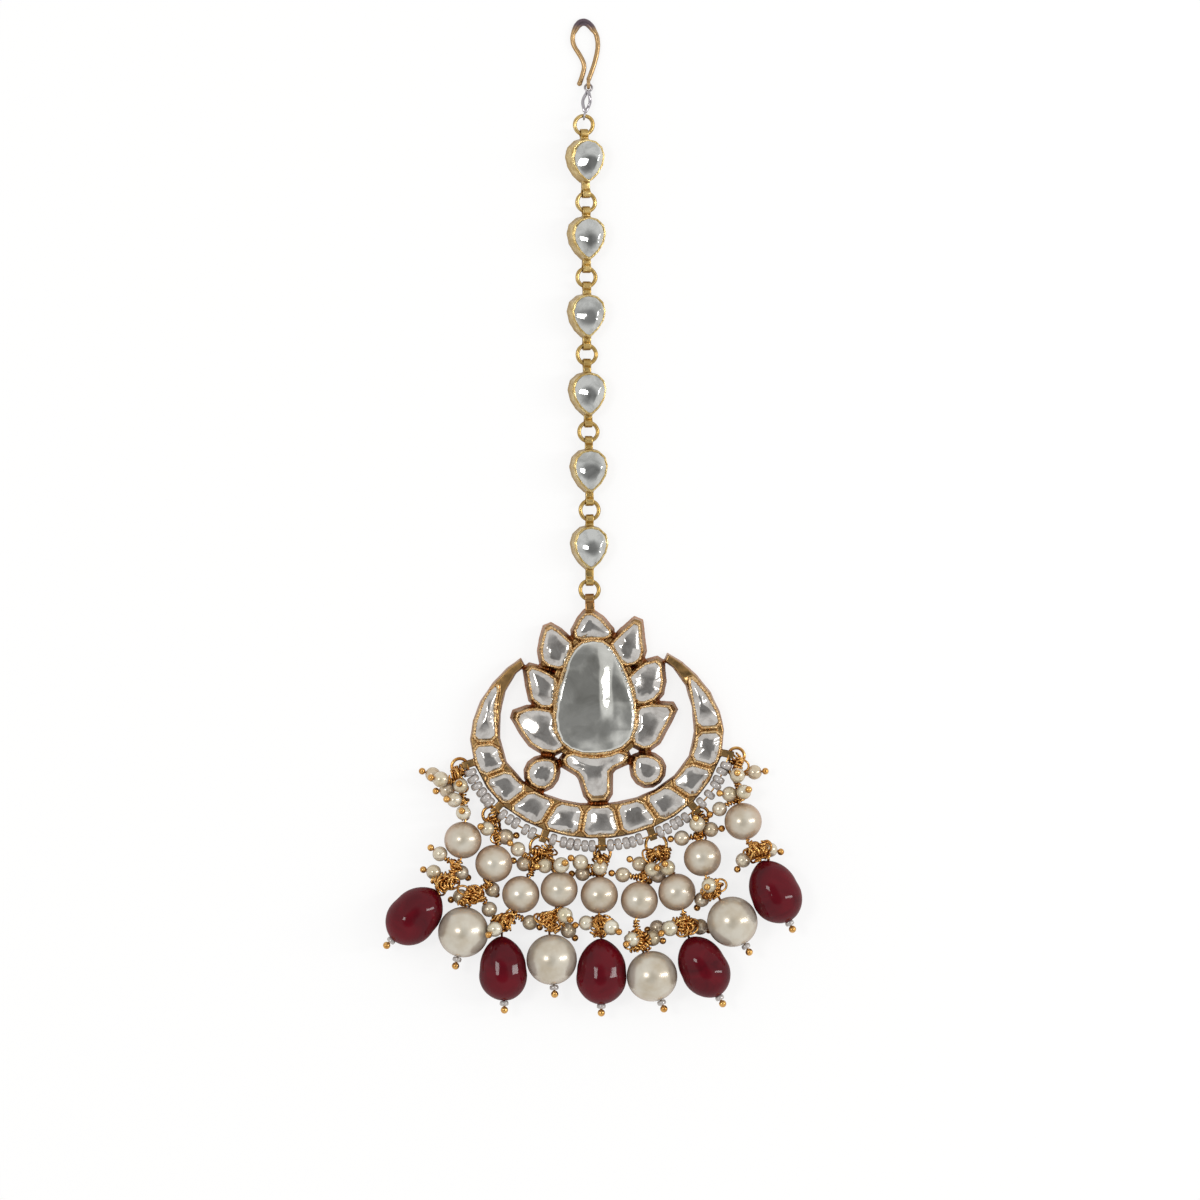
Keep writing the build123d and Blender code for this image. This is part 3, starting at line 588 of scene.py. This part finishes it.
# ---- twisted loop ----
# Thin silver wire doubled and twisted round itself, with an eye in the hook and one in the top ring.
silver, tree, shader = coat_of("drawn_silver_wire", Base_Color=linear("ABA7AB"), Metallic=1.0, Roughness=0.2)
spot = add(tree, "ShaderNodeTexCoord")
drawn = add(tree, "ShaderNodeTexNoise", {"Scale": 2500.0, "Detail": 2.0}, {"Vector": spot.outputs["Object"]})
relief = add(tree, "ShaderNodeBump", {"Strength": 0.2, "Distance": 0.02 * MM}, {"Height": drawn.outputs[0]})
tree.links.new(relief.outputs[0], shader.inputs["Normal"])
TWIST_WIRE = 0.29           # radius of a strand in the shank
EYE_WIRE = 0.18             # and of the wire of the two eyes
loop_top = Vector((-1.5, 113.19, 1.02)) * MM
loop_low = Vector((-2.2, 108.23, 1.9)) * MM
shank = (loop_low - loop_top).normalized()
across = shank.cross(Vector((0, 0, 1))).normalized()
over = across.cross(shank)
wire = bmesh.new()
start, end = loop_top + shank * 0.62 * MM, loop_low - shank * 0.66 * MM
for strand in range(2):
    run = []
    for k in range(41):
        share = k / 40
        turn = math.pi * (strand + 0.7 * (share - 0.5))
        swell = 0.2 + 0.44 * math.sin(math.pi * share)
        run.append(start.lerp(end, share) + (across * math.cos(turn) + over * math.sin(turn)) * swell * MM)
    tube(wire, run, TWIST_WIRE * MM, sides=10)
for middle, radius, first, second in ((loop_top, 0.64, across, shank), (loop_low, 0.68, over, shank)):
    tube(wire, [middle + (first * math.cos(a) + second * math.sin(a)) * radius * MM
                for a in AROUND], EYE_WIRE * MM, sides=10, closed=True)
bmesh.ops.recalc_face_normals(wire, faces=wire.faces)
finished("twisted_loop_wire", as_mesh(wire, "twisted_loop_wire"), silver, "silver_wire", "twisted_loop")


# ---- pearls ----
# Glass pearls under a nacre lacquer: warm cream with a satin gloss and faint cloudy mottling. The
# small ones are a little greener. Their lower halves are painted browner, as painted shade with a
# warm painted reflection.
def nacre(name, pale, shade, roughness, painted_shade_share):
    """Pearl lacquer: a satin base under a thin glossy coat, browner toward the table as painted shade and a
    warm painted reflection; the last argument is how far.
    """
    material, tree, shader = coat_of(name, Roughness=roughness, Metallic=0.38, Coat_Weight=1.0,
                                     Coat_Roughness=0.18, Specular_Tint=linear("A67A4C"))
    spot = add(tree, "ShaderNodeTexCoord")
    cloud = add(tree, "ShaderNodeTexNoise", {"Scale": 330.0, "Detail": 3.0, "Roughness": 0.55},
                {"Vector": spot.outputs["Object"]})
    tone = add(tree, "ShaderNodeMapRange", {1: 0.35, 2: 0.7, 3: 0.0, 4: 1.0}, {0: cloud.outputs[0]})
    clouded = add(tree, "ShaderNodeMix", {"data_type": "RGBA", 6: linear(pale), 7: linear(shade)},
                  {0: tone.outputs[0]})
    # painted shade and warm painted reflection: the lacquer goes browner from 6.2 mm down to 2.6 mm over the
    # table
    level = add(tree, "ShaderNodeSeparateXYZ", None, {0: spot.outputs["Object"]})
    low = add(tree, "ShaderNodeMapRange", {1: 6.2 * MM, 2: 2.6 * MM, 3: 0.0, 4: painted_shade_share},
              {0: level.outputs["Z"]})
    skin = add(tree, "ShaderNodeMix", {"data_type": "RGBA", 7: linear("A5713F")},
               {0: low.outputs[0], 6: clouded.outputs[2]})
    tree.links.new(skin.outputs[2], shader.inputs["Base Color"])
    # lacquer pimples about 0.4 mm apart
    pimples = add(tree, "ShaderNodeTexNoise", {"Scale": 2400.0, "Detail": 1.0},
                  {"Vector": spot.outputs["Object"]})
    relief = add(tree, "ShaderNodeBump", {"Strength": 0.12, "Distance": 0.03 * MM},
                 {"Height": pimples.outputs[0]})
    tree.links.new(relief.outputs[0], shader.inputs["Normal"])
    return material


row_nacre = nacre("cream_pearl_lacquer", "C8C2B4", "B5A994", 0.28, 1.0)
small_nacre = nacre("greenish_pearl_lacquer", "DAD5C4", "C0B595", 0.22, 0.3)
seed_glass, tree, shader = coat_of("frosted_seed_glass", Roughness=0.2, Coat_Weight=0.6, Metallic=0.15)
spot = add(tree, "ShaderNodeTexCoord")
cloud = add(tree, "ShaderNodeTexNoise", {"Scale": 700.0, "Detail": 2.0}, {"Vector": spot.outputs["Object"]})
skin = add(tree, "ShaderNodeMix", {"data_type": "RGBA", 6: linear("BAB5B1"), 7: linear("9C9692")},
           {0: cloud.outputs[0]})
tree.links.new(skin.outputs[2], shader.inputs["Base Color"])


def extent(group):
    low = Vector([min(v.co[i] for v in group) for i in range(3)])
    high = Vector([max(v.co[i] for v in group) for i in range(3)])
    return low, high


def pearl_ball(build, middle, radius, segments):
    """A slightly uneven ball, turned at random."""
    turn = Matrix.Rotation(dice.uniform(0, 6), 4, "X") @ Matrix.Rotation(dice.uniform(0, 6), 4, "Y")
    squash = Matrix.Diagonal((1, 1 - dice.uniform(0, 0.03), 1 - dice.uniform(0, 0.02), 1))
    bmesh.ops.create_uvsphere(build, u_segments=2 * segments, v_segments=segments, radius=radius,
                              matrix=Matrix.Translation(middle) @ turn @ squash)


ROW_PEARL = 3.27            # radius
SMALL_PEARLS = (1.28, 1.42)              # range of the radii
ROW_LEAST, SMALL_LEAST = 5.0, 2.2        # least width of each kind's solid; a narrower one is a seed
dangles = []
for number in range(1, 10):
    node = f"dangle_pearls_{number}"
    source = merged(node)
    small, row, seed = [], None, None
    for group in islands(source):
        low, high = extent(group)
        size = max(high - low)
        middle = (low + high) / 2
        if size > ROW_LEAST * MM:
            row = middle
        elif size > SMALL_LEAST * MM:
            small.append(middle)
        else:
            seed = middle
    source.free()
    dangles.append({"row": row, "small": small, "seed": seed})
    build = bmesh.new()
    pearl_ball(build, row, ROW_PEARL * MM, 24)
    finished(f"row_pearl_{number}", as_mesh(build, f"row_pearl_{number}"), row_nacre, "pearl", node)
    build = bmesh.new()
    for middle in small:
        pearl_ball(build, middle, dice.uniform(*SMALL_PEARLS) * MM, 11)
    finished(f"bunch_pearls_{number}", as_mesh(build, f"bunch_pearls_{number}"), small_nacre, "pearl")


# ---- drops ----
# Tumbled ruby-red glass eggs and round glass pearls, drilled down the middle. Each hangs by a wire
# eye above and is held by a clear seed and a gold ball below.
ruby_glass, tree, shader = coat_of("ruby_red_glass", Roughness=0.25, Specular_IOR_Level=0.0, Coat_Weight=0.4,
                                   Coat_Roughness=0.08)
spot = add(tree, "ShaderNodeTexCoord")
cloud = add(tree, "ShaderNodeTexNoise", {"Scale": 190.0, "Detail": 3.0, "Roughness": 0.6, "Distortion": 0.8},
            {"Vector": spot.outputs["Object"]})
tone = add(tree, "ShaderNodeMapRange", {1: 0.35, 2: 0.7, 3: 0.0, 4: 1.0}, {0: cloud.outputs[0]})
skin = add(tree, "ShaderNodeMix", {"data_type": "RGBA", 6: linear("5E0916"), 7: linear("440610")},
           {0: tone.outputs[0]})
tree.links.new(skin.outputs[2], shader.inputs["Base Color"])
DROPS = ["ruby_drop_1", "pearl_drop_1", "ruby_drop_2", "pearl_drop_2", "ruby_drop_3", "pearl_drop_3",
         "ruby_drop_4", "pearl_drop_4", "ruby_drop_5"]
DROP_PEARL = 4.42           # radius
for number, node in enumerate(DROPS, 1):
    low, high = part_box(node)
    middle = (low + high) / 2
    dangles[number - 1]["drop"] = middle
    if node.startswith("ruby"):
        egg = worn(as_mesh(merged(node), node + "_tumbled"), voxel=0.35, rounds=6, share=0.5)
        for vertex in egg.vertices:
            vertex.co.xy = middle.xy + (vertex.co - middle).xy * 1.045
            vertex.co += noise.noise_vector(vertex.co * 130 + Vector((0, 0, number))) * 0.28 * MM
        finished(node + "_tumbled", egg, ruby_glass, "ruby_glass", node)
    else:
        build = bmesh.new()
        pearl_ball(build, middle, DROP_PEARL * MM, 28)
        finished(node + "_ball", as_mesh(build, node + "_ball"), row_nacre, "pearl", node)


# ---- seed beads ----
# Frosted glass seeds, wider than they are long, threaded on gold wire along the crescent's lower edge
# between the tabs, and one under each drop.
TAB_ANGLES = (190.4, 213.5, 239.8, 270.6, 297.6, 321.8, 350.0)
EDGE = (22.0, 17.9)         # half axes of the crescent's outer edge
PENDANT_TURN = math.radians(2)
STRAND_REACH, STRAND_HEIGHT = 1.42, 2.55 # of the thread, off that edge and over the table
THREAD_WIRE = 0.14
SEED_RADII = (1.02, 1.12)
SEED_LENGTHS = (1.1, 1.22)
SEED_STEP = 1.27            # from one seed's middle to the next
FIRST_SEED, LAST_SEED = 1.5, 1.2         # clear of the tab before and of the one after
DROP_SEED = (0.8, 0.85)     # radius and length of the seed under a drop


def seed_bead(build, middle, way, radius, length):
    """A short barrel with rounded ends."""
    turn = way.to_track_quat("Z", "Y").to_matrix().to_4x4()
    turn.translation = middle
    made = bmesh.ops.create_cone(build, cap_ends=True, segments=14, radius1=radius, radius2=radius,
                                 depth=length, matrix=turn)["verts"]
    around = {e for v in made for e in v.link_edges}
    rims = [e for e in around
            if abs((e.verts[0].co - e.verts[1].co).normalized().dot(way)) < 0.5]
    bmesh.ops.bevel(build, geom=rims, offset=length * 0.36, offset_type="OFFSET", segments=3, profile=0.5,
                    affect="EDGES", clamp_overlap=True, material=-1)


def edge_point(angle, reach, height):
    """A point outward from the crescent's lower edge, in the frame of the lying jewel."""
    c, s = math.cos(math.radians(angle)), math.sin(math.radians(angle))
    radius = EDGE[0] * EDGE[1] / math.hypot(EDGE[1] * c, EDGE[0] * s)
    spot = Vector((radius * c, radius * s))
    out = Vector((spot.x / EDGE[0] ** 2, spot.y / EDGE[1] ** 2)).normalized()
    spot += out * reach
    spot = Vector((spot.x * math.cos(PENDANT_TURN) - spot.y * math.sin(PENDANT_TURN),
                   spot.x * math.sin(PENDANT_TURN) + spot.y * math.cos(PENDANT_TURN)))
    return Vector((spot.x, spot.y, height)) * MM


strand = bmesh.new()
thread = bmesh.new()
for first, second in zip(TAB_ANGLES, TAB_ANGLES[1:]):
    run = [edge_point(first + (second - first) * k / 60, STRAND_REACH, STRAND_HEIGHT) for k in range(61)]
    tube(thread, run[::4], THREAD_WIRE * MM, sides=6)
    travelled, due = 0.0, FIRST_SEED
    length = sum((b - a).length for a, b in zip(run, run[1:])) / MM
    for start, end in zip(run, run[1:]):
        travelled += (end - start).length / MM
        if due <= travelled < length - LAST_SEED:
            lean = Vector([dice.uniform(-0.1, 0.1) for _ in range(3)])
            way = ((end - start).normalized() + lean).normalized()
            nudge = Vector((dice.uniform(-0.15, 0.15), dice.uniform(-0.15, 0.15), dice.uniform(-0.1, 0.1)))
            seed_bead(strand, end + nudge * MM, way, dice.uniform(*SEED_RADII) * MM,
                      dice.uniform(*SEED_LENGTHS) * MM)
            # about one gap in eight is wider
            due += SEED_STEP + (dice.uniform(0.5, 0.9) if dice.random() < 0.12 else 0)
finished("seed_beads", as_mesh(strand, "seed_beads"), seed_glass, "seed_glass", "seed_strand")

wire_gold = gold("drawn_gold_wire", "E0B26C", "AC7434", 0.2, 0.0)
bmesh.ops.recalc_face_normals(thread, faces=thread.faces)
finished("seed_thread", as_mesh(thread, "seed_thread"), wire_gold, "gold_wire")

feet = bmesh.new()
for dangle in dangles:
    down = (dangle["seed"] - dangle["drop"]).normalized()
    seed_bead(feet, dangle["seed"], down, DROP_SEED[0] * MM, DROP_SEED[1] * MM)
finished("drop_seeds", as_mesh(feet, "drop_seeds"), seed_glass, "seed_glass")


# ---- fringe wires ----
# Ball-ended gold pins: one through each row pearl and each drop, and one through every small pearl,
# their ends turned into eyes and wrapped round the joints in loose, crowded coils.
for node in ("pearl_pins_left", "pearl_pins_centre", "pearl_pins_right", "drop_pins", "tab_rings"):
    pins = merged(node)
    finished(node + "_bright", as_mesh(pins, node + "_bright"), wire_gold, "gold_wire", node)


def eye_loop(build, middle, axis, radius, thick):
    """One round eye of wire."""
    side = axis.orthogonal().normalized()
    up = axis.cross(side).normalized()
    start = dice.uniform(0, 6)
    points = [middle + (side * math.cos(start + a) + up * math.sin(start + a) * 0.9) * radius
              for a in [math.radians(24 * k) for k in range(15)]]
    tube(build, points, thick, sides=6, closed=True)


def coil(build, start, end, radius, turns, thick):
    """Loose wraps of wire along a short stretch."""
    way = (end - start).normalized()
    side = way.orthogonal().normalized()
    up = way.cross(side)
    count = int(turns * 12)
    run = []
    for k in range(count + 1):
        share = k / count
        angle = 2 * math.pi * turns * share
        swell = radius * (1 + 0.25 * math.sin(3.1 * angle / turns + start.x / MM))
        run.append(start.lerp(end, share) + (side * math.cos(angle) + up * math.sin(angle)) * swell)
    tube(build, run, thick, sides=6)


def wrap(build, start, end, radius, thick):
    """Close wraps of thin wire round a straight wire."""
    length = (end - start).length / MM
    if length > 0.5:
        coil(build, start, end, radius * MM, max(1.5, length / 0.52), thick * MM)


def nearest(start, end, point):
    run = end - start
    return start + run * min(0.9, max(0.1, (point - start).dot(run) / run.length_squared))


def flat(vector):
    return Vector((vector.x, vector.y, 0)).normalized()


RING_WIRE = 0.28            # radius of a tab ring's wire
RING_OF = (0, 1, 2, 2, 3, 4, 4, 5, 6)    # the tab ring that carries each dangle, from the left
DROP_HALF = {"ruby": 5.65, "pearl": 4.4} # half the length of each kind of drop
JOINT_RISE = 2.2            # from the top of a drop to the joint above it
ROW_REACH = 3.6             # from the middle of a row pearl to the bends in its wire
TOP_EYE, JOINT_EYE = 0.75, 0.85          # radii of the eyes at the ends of that wire
LOOP_RADII = (0.8, 1.4)     # of the loose loops round a joint
LOOP_WIRES = (0.18, 0.21)
NECK_HALF = 0.95            # half the length of a wrapped neck
rings_source = merged("tab_rings")
ring_spots = []
for group in islands(rings_source):
    low, high = extent(group)
    ring_spots.append(((low + high) / 2, (high.x - low.x) / 2 - RING_WIRE * MM))
rings_source.free()
ring_spots.sort(key=lambda spot: spot[0].x)
for number, dangle in enumerate(dangles, 1):
    tangle = bmesh.new()
    down = (dangle["seed"] - dangle["drop"]).normalized()
    half = DROP_HALF[DROPS[number - 1].split("_")[0]]
    joint = dangle["drop"] - down * (half + JOINT_RISE) * MM
    row = dangle["row"]
    ring_middle, ring_radius = ring_spots[RING_OF[number - 1]]
    bore = (joint - ring_middle).normalized()
    above, below = row - bore * ROW_REACH * MM, row + bore * ROW_REACH * MM
    entry = flat(above - ring_middle)
    top_eye = ring_middle + entry * (ring_radius + 0.1 * MM)
    top_start = top_eye + entry * TOP_EYE * MM
    joint_end = joint + flat(below - joint) * JOINT_EYE * MM
    wrap(tangle, top_start, above, 0.46, 0.18)
    wrap(tangle, below, joint_end, 0.46, 0.18)
    for centre, count, spread in ((joint, 8, 1.5), (top_eye, 4, 1.0)):
        for _ in range(count):
            axis = Vector([dice.uniform(-1, 1) for _ in range(3)]).normalized()
            shift = Vector((dice.uniform(-spread, spread), dice.uniform(-1.0, 1.0), dice.uniform(-0.6, 1.8)))
            eye_loop(tangle, centre + shift * MM, axis, dice.uniform(*LOOP_RADII) * MM,
                     dice.uniform(*LOOP_WIRES) * MM)
            # the neck of another pin, wrapped in three or four turns
            shift = Vector((dice.uniform(-spread, spread), dice.uniform(-1.2, 1.2), dice.uniform(-0.2, 1.6)))
            shift *= MM
            neck = Vector((dice.uniform(-1, 1), dice.uniform(-1, 1), dice.uniform(-0.3, 0.3))).normalized()
            neck = neck * NECK_HALF * MM
            coil(tangle, centre + shift - neck, centre + shift + neck, 0.52 * MM, 3.3, 0.19 * MM)
    coil(tangle, joint - down * 0.9 * MM, joint + down * 1.6 * MM, 0.85 * MM, 4, 0.18 * MM)
    for middle in dangle["small"]:
        upper, lower = nearest(top_start, above, middle), nearest(below, joint_end, middle)
        foot = upper if (upper - middle).length < (lower - middle).length else lower
        out = (middle - foot).normalized()
        wrap(tangle, foot, middle - out * 1.3 * MM, 0.42, 0.17)
        for step in (-0.4, 0.0, 0.5):
            axis = Vector([dice.uniform(-1, 1) for _ in range(3)]).normalized()
            eye_loop(tangle, foot + out * step * MM, axis, dice.uniform(0.6, 0.95) * MM, 0.18 * MM)
    bmesh.ops.recalc_face_normals(tangle, faces=tangle.faces)
    finished(f"wire_tangle_{number}", as_mesh(tangle, f"wire_tangle_{number}"), wire_gold, "gold_wire")
